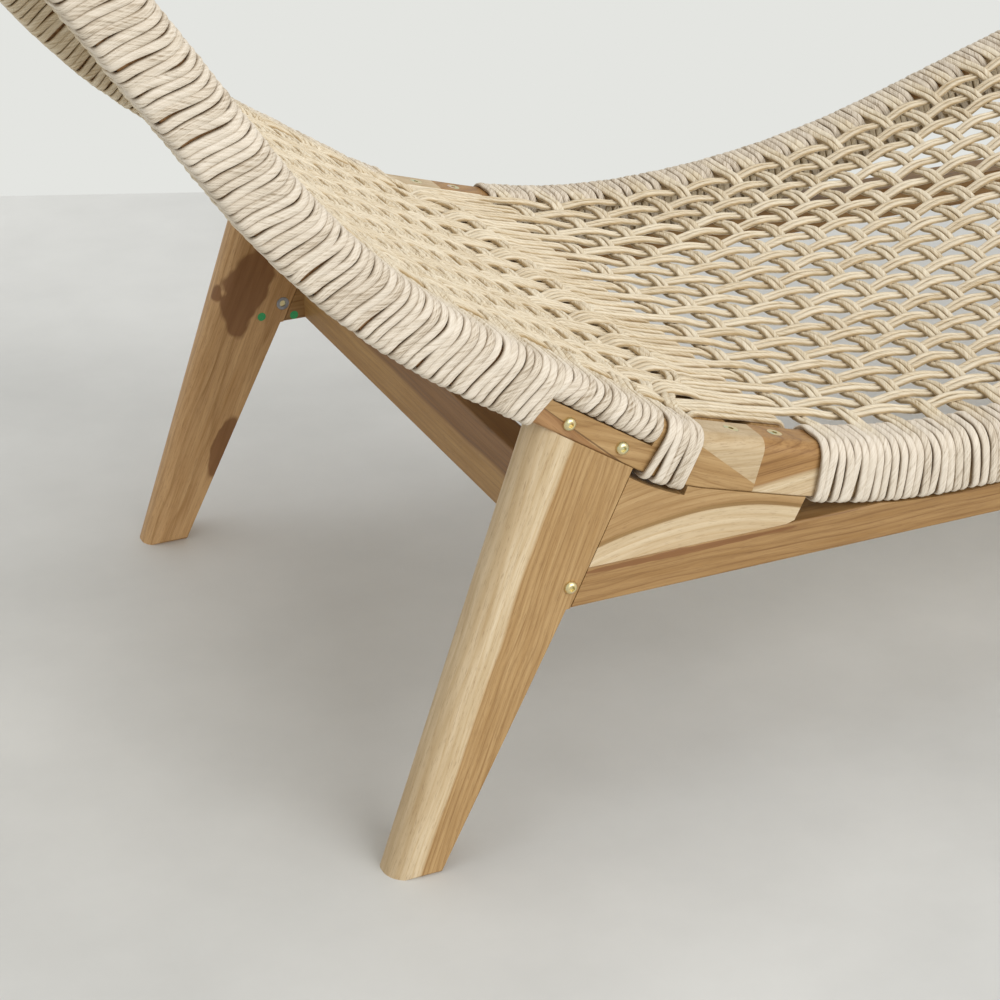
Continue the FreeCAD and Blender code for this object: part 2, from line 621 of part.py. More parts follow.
# Seat rail, parted by a scarf before the knee
whole = side_rail(seat, seat_slot)
thigh = seat.runs[3][0]
scarf = seat.at(thigh + 0.65 * THIGH_RUN, HALF_DEPTH), seat.at(thigh + 0.25 * THIGH_RUN, -HALF_DEPTH)
fore = half_plane(*scarf, 1500)
left["seat_rail_rear"] = whole.cut(fore)
left["seat_rail_front"] = whole.common(fore)

for name, leg in legs.items():
    left[name + "_leg"] = leg.solid()
left["side_stretcher"] = stretcher()
left["joint_gusset"] = gusset()
left["back_rail_cord"] = rail_sleeve(back, back_slot + SLOT_LENGTH + SLOT_WRAP_GAP, back.length - END_BARE)
left["back_slot_cord"] = slot_winding(back, back_slot)
left["back_band_cord"] = band_winding()
left["seat_rail_cord"] = rail_sleeve(seat, SEAT_WRAP_AT, seat_slot - SLOT_WRAP_GAP)
left["seat_slot_cord"] = slot_winding(seat, seat_slot)
left["foot_rail_cord"] = rail_sleeve(seat, seat_slot + SLOT_LENGTH + SLOT_WRAP_GAP, seat.length - END_BARE)
for name, shape in left.items():
    nodes[name + "_left"] = shape
    nodes[name + "_right"] = mirrored(shape)

nodes["rear_cross_rail"] = cross_board(legs["back"])
nodes["front_cross_rail"] = cross_board(legs["front"])
for name, (path, s) in MEMBERS.items():
    nodes[name + "_rail"] = member(path, s)
    nodes[name + "_cord"] = member_sleeve(path, s)
reach = MEMBER_WIDTH / 2 + SLEEVE + 0.4
nodes["woven_back"] = weave(back, BACK_MEMBER_AT + reach, back.length - BACK_MEMBER_AT - reach)
nodes["woven_seat"] = weave(seat, SEAT_MEMBER_AT + reach, seat.length - SEAT_MEMBER_AT - reach)

rail_bolts = [spot for leg in legs.values() for spot in leg.bolts]
low_bolts = [leg.low_bolt for leg in legs.values()]
nodes["rail_bolts"] = both_sides([bolt(spot) for spot in rail_bolts])
nodes["stretcher_bolts"] = both_sides([bolt(spot) for spot in low_bolts])
nodes["insert_nuts"] = both_sides([nut(spot) for spot in rail_bolts + low_bolts])
nodes["joint_screws"] = both_sides([screw(path, s, 0) for path, s in SCREWS])

bounds = Part.makeCompound(list(nodes.values())).optimalBoundingBox(False, False)
shift = V(-(bounds.XMin + bounds.XMax) / 2, 0, 0)
print("moved along X by", round(shift.x, 3), "size", round(bounds.XLength, 1), round(bounds.YLength, 1),
      round(bounds.ZLength, 1), "lowest", round(bounds.ZMin, 4))
os.makedirs("parts", exist_ok=True)
for name, shape in sorted(nodes.items()):
    shape.translate(shift)
    good = shape.isValid() and all(solid.Volume > 0 for solid in shape.Solids)
    print(name, "solids", len(shape.Solids), "cm3", round(shape.Volume / 1000, 2),
          "valid" if good else "NOT VALID")
    shape.exportStep("parts/" + name + ".step")
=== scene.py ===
import math

import bpy
import numpy as np
from mathutils import Matrix, Vector


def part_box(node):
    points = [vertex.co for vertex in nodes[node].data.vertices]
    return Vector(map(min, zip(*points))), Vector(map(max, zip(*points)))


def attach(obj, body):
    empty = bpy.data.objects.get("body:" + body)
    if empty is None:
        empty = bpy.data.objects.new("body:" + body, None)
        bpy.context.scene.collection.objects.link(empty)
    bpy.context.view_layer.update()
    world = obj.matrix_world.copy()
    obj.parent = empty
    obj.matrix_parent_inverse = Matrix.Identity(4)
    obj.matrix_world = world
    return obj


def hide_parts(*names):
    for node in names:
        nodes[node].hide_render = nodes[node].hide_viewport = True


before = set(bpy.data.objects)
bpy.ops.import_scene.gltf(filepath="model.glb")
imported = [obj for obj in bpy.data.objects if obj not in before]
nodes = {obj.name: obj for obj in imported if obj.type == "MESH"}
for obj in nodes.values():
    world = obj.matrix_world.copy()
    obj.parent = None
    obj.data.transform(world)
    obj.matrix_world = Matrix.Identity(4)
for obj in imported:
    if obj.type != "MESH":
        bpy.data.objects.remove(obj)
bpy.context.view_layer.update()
chance = np.random.RandomState(26)

# Sizes of the frame that the cords follow, in millimetres
RAIL_INSIDE, RAIL_OUTSIDE = 279.0, 321.0
RAIL_LOW, RAIL_HIGH = -21.0, 21.0
BAR_LOW = 4.3  # how low the cord hangs round the upper bar at the legs, so that it fills the slot below the bar
BAR_ROUND = 3.0
RAIL_ROUND = 11.0
RAIL_EDGE = 2.0
MEMBER_HALF = 17.0
MEMBER_LOW, MEMBER_HIGH = -9.0, 19.0
MEMBER_ROUND = 6.0
BACK_MEMBER_AT, SEAT_MEMBER_AT = 27.0, 24.0  # the middle of the cross rails, from the ends of the side rails
LINE_STEP = 0.5  # between points of the side rails' centre lines
JOINT_SLOPE = 16.3
JOINT_HEIGHT = 289.5
JOINT_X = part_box("seat_rail_rear_left")[0].x * 1000 + RAIL_HIGH * math.sin(math.radians(JOINT_SLOPE))

# The cord and how it is woven
CORD_WIDTH = 6.1
CORD_THICK = 4.4
WRAP_WIDTH = 7.6
TURN_STEP = 7.3  # turns lie closer than a cord is wide, so they press on each other
RING_STEP = 4.4  # between a cord's rings in the weave
SIDE_STEP, BELOW_STEP, TOP_STEP, BEND_STEP = 5, 7, 6, 3.2  # on a rail's sides, below and above it, round its edges
SIDES = 8
LIFT = CORD_THICK / 2
WARP_STEP = 26.0
WARPS = 21
WEAVE_LEVEL = 21.2
WEAVE_RISE = 2.1
EDGE_RISE = 1.6  # the outermost cords ride up on the rail wrapping
SWELL = 1.3  # how far a turn stands off the middle of a rail's face
OVER_RAIL = {"back": 5.0, "seat": 45.0}  # how far from the joint the lengthwise cords lie on the rails there
PRESSED = {"back": 44.0, "seat": 0.0}  # how far the first crosswise cords are drawn along the weave to the joint
PRESS_REACH = 60.0  # the next ones are drawn less and less over this length
RAIL_TOP_END, RAIL_TOP_RAMP = 50.0, 10.0  # crossings nearer to the joint lie on top of the rail there
FAN_START, FAN_LENGTH = 243.0, 40.0  # where a crosswise cord leaves its group for its own place on the rail
PRESS_START, PRESS_END = 255, 285  # where it gets as wide as it is on the rail
HANG_REACH = 150.0  # the weave sags fully this far from its ends
INNER_RISE = 1.2  # the inner two of four cords on the rails at the joint
EDGE_PLACE = 275.6  # the outermost cords on the cross rails
LIE_STEP, UNDER_STEP = 4.5, 6  # between rings on the rails at the joint and below them
TUCK_TOP = 33  # how far from the joint a cord that ends there lies on the seat's rear rail
TUCK_BELOW, TUCK_END = 14.0, 40  # where it starts below that rail and ends below the back's bottom rail
GATHER_START, GATHER_LENGTH = -2, 32  # where it moves closer to its pair
CROSSING, CROSSING_HUMP = 0.19, 0.17  # share of a turn on which a wound cord crosses to its next place and climbs
LONG_CROSSING = 12  # from this length on it climbs over the cords between
END_OUT, END_SIZE = 1.2, 0.55  # a cord's rounded end
SQUARE_ACROSS, SQUARE_UP = 0.85, 0.9  # an ellipse has 1, less is squarer
STRIP_GAP = 0.6  # between strips of the bake map, in sides of a cord

# How uneven the cords are
FULL_TURN = 6.28
CORD_SWELL = (0.05, 21)  # share of its width, and the waves' length
CORD_ROLL = (0.10, 17)  # radians, and the waves' length
SLANT_SCATTER, STRAIGHT_SCATTER = 0.8, 0.4  # from turn to turn
TURN_BOW = 0.55
TURN_WAVES = (FULL_TURN, 15.0)  # radians in one turn
TURN_LIFT = (-0.15, 0.4)
WARP_DRIFT, WEFT_DRIFT = (0.5, 130), (0.7, 110)  # a group's wander and the waves' length
GROUP_SCATTER, CORD_SCATTER = 0.9, 0.35  # at each crossing
DRIFT_REACH = 60  # cords lie straight at the joint and drift fully this far from it
PATTERN_SHIFT = 900  # a cord's creases start anywhere on this length
OVER_SPREAD = 0.08  # a group spreads where it lies on top and closes up below
RAIL_SCATTER = 1.6
GATHER = (2.0, 5.0)  # how far a cord that ends at the joint moves closer to its pair


class RailLine:
    """Centre line of a side rail, from the joint, as runs of (length, bend in degrees, positive upwards)."""

    def __init__(self, heading, side, slot, slant, sag, runs):
        self.side, self.slot, self.slant, self.sag = side, slot, slant, sag
        self.length = sum(run for run, _ in runs)
        self.s = np.arange(0.0, self.length, LINE_STEP)
        ends = np.cumsum([0.0] + [run for run, _ in runs])
        turned = np.cumsum([0.0] + [bend for _, bend in runs])
        self.heading = np.radians(heading + side * np.interp(self.s, ends, turned))
        middle = (self.heading[1:] + self.heading[:-1]) / 2
        self.x = JOINT_X + np.concatenate([[0], np.cumsum(np.cos(middle) * LINE_STEP)])
        self.z = JOINT_HEIGHT + np.concatenate([[0], np.cumsum(np.sin(middle) * LINE_STEP)])

    def ways(self, s):
        h = np.interp(s, self.s, self.heading)
        along = np.stack([np.cos(h), 0 * h, np.sin(h)], 1)
        up = np.stack([-np.sin(h), 0 * h, np.cos(h)], 1) * self.side
        return along, up

    def at(self, s, n, y):
        _, up = self.ways(s)
        spot = np.stack([np.interp(s, self.s, self.x), y, np.interp(s, self.s, self.z)], 1)
        return spot + up * n[:, None]


def arc(radius, degrees):
    return radius * math.radians(degrees)


# slant: how far a turn moves along the rail on its way down the outer face. sag: how far the weave hangs in its middle
back = RailLine(180 - JOINT_SLOPE, -1, (99.1, 195.1), 8.0, 1.0, [
    (40.0, 0), (arc(200, 16.5), 16.5), (163.0, 0), (arc(560, 22.7), 22.7), (290.0, 0)])
seat = RailLine(-JOINT_SLOPE, 1, (877.4, 973.4), 1.5, 3.0, [
    (30.0, 0), (arc(600, 16.3), 16.3), (arc(1000, 18), 18), (150.0, 0), (arc(300, 32), -32), (330.0, 0)])


def ease(f):
    f = np.clip(f, 0, 1)
    return f * f * (3 - 2 * f)


def section(low, high, width, round_low, round_high, swell):
    """A cord's way once round a rail, from the top of its inner face down and back to there. Rows of across, up,
    the outward normal's two parts, and how much of the slant applies. Across counts from the inner face out."""
    low_bend, high_bend = round_low + LIFT, round_high + LIFT
    rows = []

    def flat(a, b, normal, step):
        count = max(1, int(math.hypot(b[0] - a[0], b[1] - a[1]) / step))
        for k in range(count):
            f = k / count
            rows.append((a[0] + (b[0] - a[0]) * f, a[1] + (b[1] - a[1]) * f, *normal))

    def bend(centre, radius, start):
        count = max(3, int(radius * math.pi / 2 / BEND_STEP))
        for k in range(count):
            a = math.radians(start + 90 * k / count)
            rows.append((centre[0] + radius * math.cos(a), centre[1] + radius * math.sin(a), math.cos(a), math.sin(a)))

    inner, outer = -LIFT, width + LIFT
    floor, roof = low - LIFT, high + LIFT
    flat((inner, high - round_high), (inner, low + round_low), (-1, 0), SIDE_STEP)
    bend((round_low, low + round_low), low_bend, 180)
    flat((round_low, floor), (width - round_low, floor), (0, -1), BELOW_STEP)
    bend((width - round_low, low + round_low), low_bend, 270)
    flat((outer, low + round_low), (outer, high - round_high), (1, 0), SIDE_STEP)
    bend((width - round_high, high - round_high), high_bend, 0)
    flat((width - round_high, roof), (round_high, roof), (0, 1), TOP_STEP)
    top = len(rows)
    bend((round_high, high - round_high), high_bend, 90)
    rows.append((inner, high - round_high, -1, 0))
    rows = np.array(rows)
    across, up, out, lift = rows.T
    on_outside = out > 0.3
    drop = np.clip((high - up) / (high - low), 0, 1)
    slant = np.where(lift < -0.6, np.clip(across / width, 0, 1), np.where(on_outside, drop, 0))
    rows[:, 0] += np.where(on_outside, swell * np.sin(math.pi * drop), 0)
    return np.column_stack([rows, ease(slant)]), top


RAIL_SECTION = section(RAIL_LOW, RAIL_HIGH, RAIL_OUTSIDE - RAIL_INSIDE, RAIL_EDGE, RAIL_ROUND, SWELL)
BAR_SECTION = section(BAR_LOW, RAIL_HIGH, RAIL_OUTSIDE - RAIL_INSIDE, BAR_ROUND, RAIL_ROUND, 0.5)
MEMBER_SECTION = section(MEMBER_LOW, MEMBER_HIGH, 2 * MEMBER_HALF, MEMBER_ROUND, MEMBER_ROUND, 0)


class SideRail:
    """Places a cord round the left (+1) or right (-1) side rail of a line."""

    def __init__(self, line, side):
        self.line, self.side = line, side

    def section(self, position):
        start, end = self.line.slot
        return BAR_SECTION if start < position < end else RAIL_SECTION

    def slant(self, position):
        start, end = self.line.slot
        if self.line is back:  # straight turns at the joint, more and more slant up to the slot's end
            return np.interp(position, [start - 8, start, end], [0.5, 1.0, self.line.slant])
        return self.line.slant

    def place(self, position, rows):
        """Rows of distance along, height, y, and the normal along, up and in y."""
        y = self.side * (RAIL_INSIDE + rows[:, 0])
        return np.stack([position, rows[:, 1], y, 0 * y, rows[:, 3], self.side * rows[:, 2]], 1)


class Member:
    """Places a cord round a cross member at a distance along the line. inward is +1 where the weave lies beyond."""

    def __init__(self, line, at, inward):
        self.line, self.at, self.inward = line, at, inward

    def section(self, position):
        return MEMBER_SECTION

    def slant(self, position):
        return 0.0

    def place(self, position, rows):
        s = self.at + self.inward * (MEMBER_HALF - rows[:, 0])
        return np.stack([s, rows[:, 1], position, -self.inward * rows[:, 2], rows[:, 3], 0 * s], 1)


def wander(length, size, wave):
    """Smooth random offsets for points at these distances: three waves, each about half as large as the one before."""
    total = 0 * length
    for k in (1.0, 0.47, 0.23):
        total = total + size * k * np.sin(length / (wave * k) + chance.uniform(0, FULL_TURN))
    return total


class Cords:
    """Cords of one piece. Each is a row of flattened rings, and all of them become one mesh."""

    def __init__(self):
        self.rings, self.quads, self.lays, self.tones, self.cells = [], [], [], [], []
        self.count = 0
        self.rows = 0
        self.metres = 0.0

    def add(self, parts, width=CORD_WIDTH):
        """A cord through these parts, each a line and rows of distance along, height, y and the normal's three
        parts."""
        points, normals = [], []
        for line, rows in parts:
            along, up = line.ways(rows[:, 0])
            points.append(line.at(rows[:, 0], rows[:, 1], rows[:, 2]))
            normals.append(along * rows[:, 3:4] + up * rows[:, 4:5] + np.array([0, 1.0, 0]) * rows[:, 5:6])
        points, normal = np.concatenate(points), np.concatenate(normals)
        width = np.pad(np.broadcast_to(width, len(points)), 1, mode="edge")
        way = np.gradient(points, axis=0)
        way /= np.linalg.norm(way, axis=1)[:, None]
        normal = normal - way * np.sum(normal * way, 1)[:, None]
        normal /= np.linalg.norm(normal, axis=1)[:, None]
        across = np.cross(way, normal)
        travelled = np.concatenate([[0], np.cumsum(np.linalg.norm(np.diff(points, axis=0), axis=1))])
        self.metres += travelled[-1] / 1000
        # hand-twisted cord: now wider and flatter, now rounder, and it rolls a little
        swell = 1 + wander(travelled, *CORD_SWELL)
        roll = wander(travelled, *CORD_ROLL)
        across, normal = (across * np.cos(roll)[:, None] + normal * np.sin(roll)[:, None],
                          normal * np.cos(roll)[:, None] - across * np.sin(roll)[:, None])
        # rounded ends
        points = np.concatenate([points[:1] - way[:1] * END_OUT, points, points[-1:] + way[-1:] * END_OUT])
        across = np.concatenate([across[:1], across, across[-1:]])
        normal = np.concatenate([normal[:1], normal, normal[-1:]])
        swell = np.concatenate([swell[:1], swell, swell[-1:]])
        travelled = np.concatenate([travelled[:1] - END_OUT, travelled, travelled[-1:] + END_OUT])
        size = np.ones(len(points))
        size[[0, -1]] = END_SIZE
        turn = np.arange(SIDES) / SIDES * 2 * math.pi - math.pi / 2
        # a little squarer than an ellipse, as cord pressed on a rail is
        side = np.sign(np.cos(turn)) * np.abs(np.cos(turn)) ** SQUARE_ACROSS
        rise = np.sign(np.sin(turn)) * np.abs(np.sin(turn)) ** SQUARE_UP
        ring = (points[:, None] + across[:, None] * ((size * swell * width / 2)[:, None] * side)[:, :, None]
                + normal[:, None] * ((size / swell)[:, None] * rise * CORD_THICK / 2)[:, :, None])
        count = len(points)
        here = np.arange(count - 1)[:, None] * SIDES + np.arange(SIDES)[None]
        there = np.arange(count - 1)[:, None] * SIDES + (np.arange(SIDES)[None] + 1) % SIDES
        quads = np.stack([here, there, there + SIDES, here + SIDES], 2).reshape(-1, 4)
        round_at = np.broadcast_to(np.arange(SIDES)[None] / SIDES, here.shape)
        long_at = np.broadcast_to(travelled[:-1, None], here.shape)
        long_next = np.broadcast_to(travelled[1:, None], here.shape)
        step = 1 / SIDES
        lay = np.stack([np.stack([long_at, long_at, long_next, long_next], 2),
                        np.stack([round_at, round_at + step, round_at + step, round_at], 2)], 3).reshape(-1, 2)
        last = (count - 1) * SIDES
        caps = np.array([[3, 2, 1, 0], [7, 4, 3, 0], [7, 6, 5, 4],
                         [last, last + 1, last + 2, last + 3], [last, last + 3, last + 4, last + 7],
                         [last + 4, last + 5, last + 6, last + 7]])
        cap_lay = np.zeros((caps.size, 2))
        cap_lay[caps.size // 2:, 0] = travelled[-1]
        self.rings.append(ring.reshape(-1, 3))
        self.quads.append(np.concatenate([quads, caps]) + self.count)
        self.lays.append(np.concatenate([lay, cap_lay]) + [chance.uniform(0, PATTERN_SHIFT), 0])
        self.tones.append(np.full(count * SIDES, chance.uniform()))
        self.count += count * SIDES
        # a row of the bake map for each step along the cord, and one for its ends
        row = np.append(np.repeat(np.arange(count - 1), SIDES), np.full(len(caps), count - 1))
        column = np.append(np.tile(np.arange(SIDES), count - 1), np.arange(len(caps)))
        self.cells.append(np.stack([row + self.rows, column], 1))
        self.rows += count

    def make(self, name, slot, *replaced):
        points = np.concatenate(self.rings) / 1000
        quads = np.concatenate(self.quads)
        mesh = bpy.data.meshes.new(name)
        mesh.vertices.add(len(points))
        mesh.vertices.foreach_set("co", points.ravel())
        mesh.loops.add(quads.size)
        mesh.loops.foreach_set("vertex_index", quads.ravel().astype(np.int32))
        mesh.polygons.add(len(quads))
        mesh.polygons.foreach_set("loop_start", np.arange(0, quads.size, 4, dtype=np.int32))
        mesh.update(calc_edges=True)
        mesh.polygons.foreach_set("use_smooth", np.ones(len(quads), bool))
        lay = mesh.uv_layers.new(name="lay")
        lay.data.foreach_set("uv", (np.concatenate(self.lays) * [0.001, 1]).ravel().astype(np.float32))
        # the cords side by side in strips, so that each face has a place of its own in a baked picture
        row, column = np.concatenate(self.cells).T[:, :, None]
        strip = SIDES + STRIP_GAP
        tall = math.ceil(math.sqrt(self.rows * strip))
        flat = np.stack([(row // tall * strip + column + [0, 1, 1, 0]) / (math.ceil(self.rows / tall) * strip),
                         (row % tall + [0, 0, 1, 1]) / tall], 2)
        bake = mesh.uv_layers.new(name="OFBake")
        bake.data.foreach_set("uv", flat.ravel().astype(np.float32))
        tone = mesh.attributes.new("tone", "FLOAT", "POINT")
        tone.data.foreach_set("value", np.concatenate(self.tones).astype(np.float32))
        mesh.validate()
        piece = bpy.data.objects.new(name, mesh)
        bpy.context.scene.collection.objects.link(piece)
        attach(piece, "root")
        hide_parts(*replaced)
        print(name, "quads", len(quads), "cord metres", round(self.metres, 2))
        return piece


def stray(rail, position, rows):
    """How far a turn strays along the rail: it slants down the outer face and bows, a little different each turn."""
    f = np.linspace(0, 1, len(rows))
    slant = chance.normal(rail.slant(position), SLANT_SCATTER if rail.slant(position) else STRAIGHT_SCATTER)
    moved = slant * rows[:, 4]
    for wave in TURN_WAVES:
        moved = moved + chance.normal(0, TURN_BOW) * np.sin(f * wave + chance.uniform(0, FULL_TURN))
    return moved


def lay_on(rows):
    """Some turns lie a little higher than others."""
    rows[:, :2] += rows[:, 2:4] * chance.uniform(*TURN_LIFT)
    return rows


def half_turn(rail, position):
    """A woven cord on a rail, from under the weave round the rail to its top. It strays less on the last quarter."""
    rows, top = rail.section(position)
    rows = lay_on(rows[:top + 1].copy())
    return rail.place(position + stray(rail, position, rows) * ease(np.linspace(1, 0, len(rows)) * 4), rows)


def winding(cords, rail, positions, width=WRAP_WIDTH):
    """One cord wound round a rail at these positions. It crosses to the next position on the inner face."""
    parts = []
    for k, position in enumerate(positions):
        rows, _ = rail.section(position)
        rows = lay_on(rows[:-1].copy() if k < len(positions) - 1 else rows.copy())
        f = np.arange(len(rows)) / len(rows)
        before = positions[max(0, k - 1)]
        move = ease(f / CROSSING)
        if abs(position - before) > LONG_CROSSING:
            hump = np.sin(np.clip(f / CROSSING_HUMP, 0, 1) * math.pi) ** 2 * CORD_THICK
            rows[:, 0] += rows[:, 2] * hump
            rows[:, 1] += rows[:, 3] * hump
        parts.append(rail.place(before + (position - before) * move + stray(rail, position, rows), rows))
    cords.add([(rail.line, np.concatenate(parts))], width)


def lying(s, n, y, up=1.0):
    """Rows of a cord that lies flat, facing up, or down for -1."""
    s, n, y = np.broadcast_arrays(s, n, y)
    return np.stack([s, n, y, 0.0 * s, 0.0 * s + up, 0.0 * s], 1)


def woven(start, end, stops, levels, cross, hold):
    """The part of a cord between two rails: over and under at the stops, where it stays level for a share hold of the
    way to the next one. cross gives its sideways place."""
    knots = np.concatenate([[start[0]], stops, [end[0]]])
    heights = np.concatenate([[start[1]], levels, [end[1]]])
    order = 1 if knots[-1] > knots[0] else -1
    run = np.linspace(knots[0], knots[-1], max(4, int(abs(knots[-1] - knots[0]) / RING_STEP)))[1:-1]
    span = np.clip(np.searchsorted(knots * order, run * order) - 1, 0, len(knots) - 2)
    f = (run - knots[span]) / (knots[span + 1] - knots[span])
    height = heights[span] + (heights[span + 1] - heights[span]) * ease((f - hold) / (1 - 2 * hold))
    # how far it is over (1) or under (-1) the weave's own level
    own_level = np.convolve(np.pad(levels, 1, mode="edge"), [0.25, 0.5, 0.25], "valid")
    raised = height - np.interp(run * order, stops * order, own_level)
    return run, height, cross(run, np.interp(raised, [-WEAVE_RISE, WEAVE_RISE], [-1, 1]))


WARP_AT = (np.arange(WARPS) - (WARPS - 1) / 2) * WARP_STEP


def panel(line, last, turns, strands, under_first, hold):
    """A woven panel from the joint to the rail at its other end. turns has each crosswise group's places on the side
    rails, strands is the number of cords in a lengthwise group, under_first is 1 if the first of these groups
    starts under the crosswise cords, else 0. Gives the lengthwise and the crosswise cords' rows."""
    word = "back" if line is back else "seat"
    on_side = np.array([np.mean(group) for group in turns])
    press = PRESSED[word] * np.exp((on_side[0] - on_side) / PRESS_REACH)
    rows = on_side - press

    def fan(y, drawn):
        """How much of its way a crosswise group has gone from its place in the weave to its place on the rail."""
        return ease((np.abs(y) - FAN_START + drawn) / (FAN_LENGTH + drawn))

    crossed = rows + press * fan(WARP_AT[:, None], press)
    edge = np.zeros(WARPS)
    edge[[0, -1]] = EDGE_RISE
    over = np.where((np.arange(WARPS)[:, None] + np.arange(len(rows))[None]) % 2 == under_first, 1.0, -1.0)
    from_ends = ease((rows - rows[0]) / HANG_REACH) * ease((rows[-1] - rows) / HANG_REACH)
    hang = (1 - (WARP_AT / RAIL_INSIDE) ** 2)[:, None] * from_ends
    level = WEAVE_LEVEL + edge[:, None] - line.sag * hang
    if PRESSED[word]:
        level = level + WEAVE_RISE * ease((RAIL_TOP_END - crossed) / RAIL_TOP_RAMP)
    shift = chance.normal(0, GROUP_SCATTER, over.shape)
    lengthwise, crosswise = {}, []
    for j, y in enumerate(WARP_AT):
        drift = shift[j] + wander(rows, *WARP_DRIFT)
        for hand in np.arange(strands) - (strands - 1) / 2:
            own = drift + chance.normal(0, CORD_SCATTER, len(rows))

            def beside(run, over_here):
                drifted = np.interp(run, crossed[j], own) * ease(run / DRIFT_REACH)
                return y + hand * CORD_WIDTH * (1 + OVER_SPREAD * over_here) + drifted

            end = half_turn(last, y + hand * CORD_WIDTH)[::-1]
            on_rails = WEAVE_LEVEL + (INNER_RISE if abs(hand) < 1 else 0.0)
            on_rails = on_rails + np.array([0, chance.uniform(0, RAIL_SCATTER)])
            run, height, side = woven((0.0, on_rails[0]), end[0], np.concatenate([[OVER_RAIL[word]], crossed[j]]),
                                      np.concatenate([on_rails[1:], level[j] + over[j] * WEAVE_RISE]), beside, hold)
            lengthwise[j, hand] = np.concatenate([lying(run, height, side), end])
    for k, group in enumerate(turns):
        drift = wander(WARP_AT, *WEFT_DRIFT)
        for hand, place in zip(np.arange(len(group)) - (len(group) - 1) / 2, group):
            own = drift + chance.normal(0, CORD_SCATTER, WARPS)

            def beside(run, over_here):
                inside = rows[k] + hand * CORD_WIDTH * (1 + OVER_SPREAD * over_here) + np.interp(run, WARP_AT, own)
                return inside + (place - inside) * fan(run, press[k])

            near, far = half_turn(SideRail(line, -1), place), half_turn(SideRail(line, 1), place)[::-1]
            run, height, side = woven((near[-1, 2], near[-1, 1]), (far[0, 2], far[0, 1]), WARP_AT,
                                      level[:, k] - over[:, k] * WEAVE_RISE, beside, hold)
            crosswise.append(np.concatenate([near, lying(side, height, run), far]))
    return lengthwise, crosswise


# The back is woven close, four cords to a group, and the seat open, in pairs. Turns on the rails, along each line:
# two pairs of the band at the joint, then fours up the back. The seat's first pairs are further apart than the others
slot_turns = np.linspace(102.9, 191.3, 13)
rail_turns = np.linspace(199.3, 718.6, 72)
back_turns = [(62.5, 69.7), (83.8, 91.0), *np.concatenate([slot_turns, rail_turns])[:-1].reshape(21, 4)]
SEAT_EVEN, SEAT_STEP, SEAT_LAST = 248.5, 29.5, 1108
seat_even = [SEAT_EVEN + SEAT_STEP * k for k in range(30)]
seat_rows = [66.0, 109.0, 146.5, 184.0, 216.5] + [s for s in seat_even if s < SEAT_LAST]
seat_turns = [(s - TURN_STEP / 2, s + TURN_STEP / 2) for s in seat_rows]
back_bottom, back_top = Member(back, BACK_MEMBER_AT, 1), Member(back, back.length - BACK_MEMBER_AT, -1)
seat_rear, seat_foot = Member(seat, SEAT_MEMBER_AT, 1), Member(seat, seat.length - SEAT_MEMBER_AT, -1)
back_long, back_cross = panel(back, back_top, back_turns, strands=4, under_first=1, hold=0.26)
seat_long, seat_cross = panel(seat, seat_foot, seat_turns, strands=2, under_first=0, hold=0.08)


def round_member(member, place):
    """From the top of a rail down its face on the weave's side to below it."""
    rows, top = MEMBER_SECTION
    below = np.flatnonzero(rows[:, 3] < -0.95)[-1]
    down = np.concatenate([rows[top:-1], rows[:below + 1]])
    return member.place(np.full(len(down), place), down)


def tucked(place, gather):
    """The rest of a back cord that doesn't go on into the seat: over both rails, closer to its pair, down and below."""
    low = MEMBER_LOW - LIFT
    over = np.arange(LIE_STEP, TUCK_TOP, LIE_STEP)
    inside = place - gather
    on_top = lying(over, WEAVE_LEVEL, place - gather * ease((over - GATHER_START) / GATHER_LENGTH))
    below = lying(np.arange(TUCK_BELOW, 0, -UNDER_STEP), low, inside, -1.0)
    return [(seat, np.concatenate([on_top, round_member(seat_rear, inside), below])),
            (back, lying(np.arange(5.0, TUCK_END, UNDER_STEP), low, inside, -1.0))]


woven_pieces = []
for word, warps in (("right", range(7)), ("middle", range(7, 14)), ("left", range(14, 21))):
    cords = Cords()
    for j in warps:
        for hand in (-1.5, -0.5, 0.5, 1.5):
            place = WARP_AT[j] + hand * CORD_WIDTH
            if (j, hand) in seat_long:
                on = [(seat, seat_long[j, hand])]
            else:
                on = tucked(place, np.sign(hand) * chance.uniform(*GATHER))
            cords.add([(back, back_long[j, hand][::-1]), *on])
    for place in {"right": [-EDGE_PLACE], "left": [EDGE_PLACE]}.get(word, []):
        on_top = lying(np.arange(7 * LIE_STEP, 0, -LIE_STEP), WEAVE_LEVEL, place)
        up = np.concatenate([round_member(back_bottom, place)[::-1], on_top])
        cords.add([(back, up), *tucked(place, 0.0)])
    woven_pieces.append(cords.make("woven_lengthwise_" + word, "woven_cord", "woven_back", "woven_seat",
                                   "back_bottom_cord", "back_top_cord", "seat_rear_cord"))
back_half, seat_half = len(back_cross) // 2, len(seat_cross) // 2
for line, cross, name, replaced in (
        (back, back_cross[:back_half], "woven_back_crosswise_lower",
         ("woven_back", "back_slot_cord_left", "back_slot_cord_right")),
        (back, back_cross[back_half:], "woven_back_crosswise_upper", ("woven_back",)),
        (seat, seat_cross[:seat_half], "woven_seat_crosswise_rear", ("woven_seat",)),
        (seat, seat_cross[seat_half:], "woven_seat_crosswise_front", ("woven_seat",))):
    cords = Cords()
    for rows in cross:
        cords.add([(line, rows)], np.interp(np.abs(rows[:, 2]), [PRESS_START, PRESS_END], [CORD_WIDTH, WRAP_WIDTH]))
    woven_pieces.append(cords.make(name, "woven_cord", *replaced))


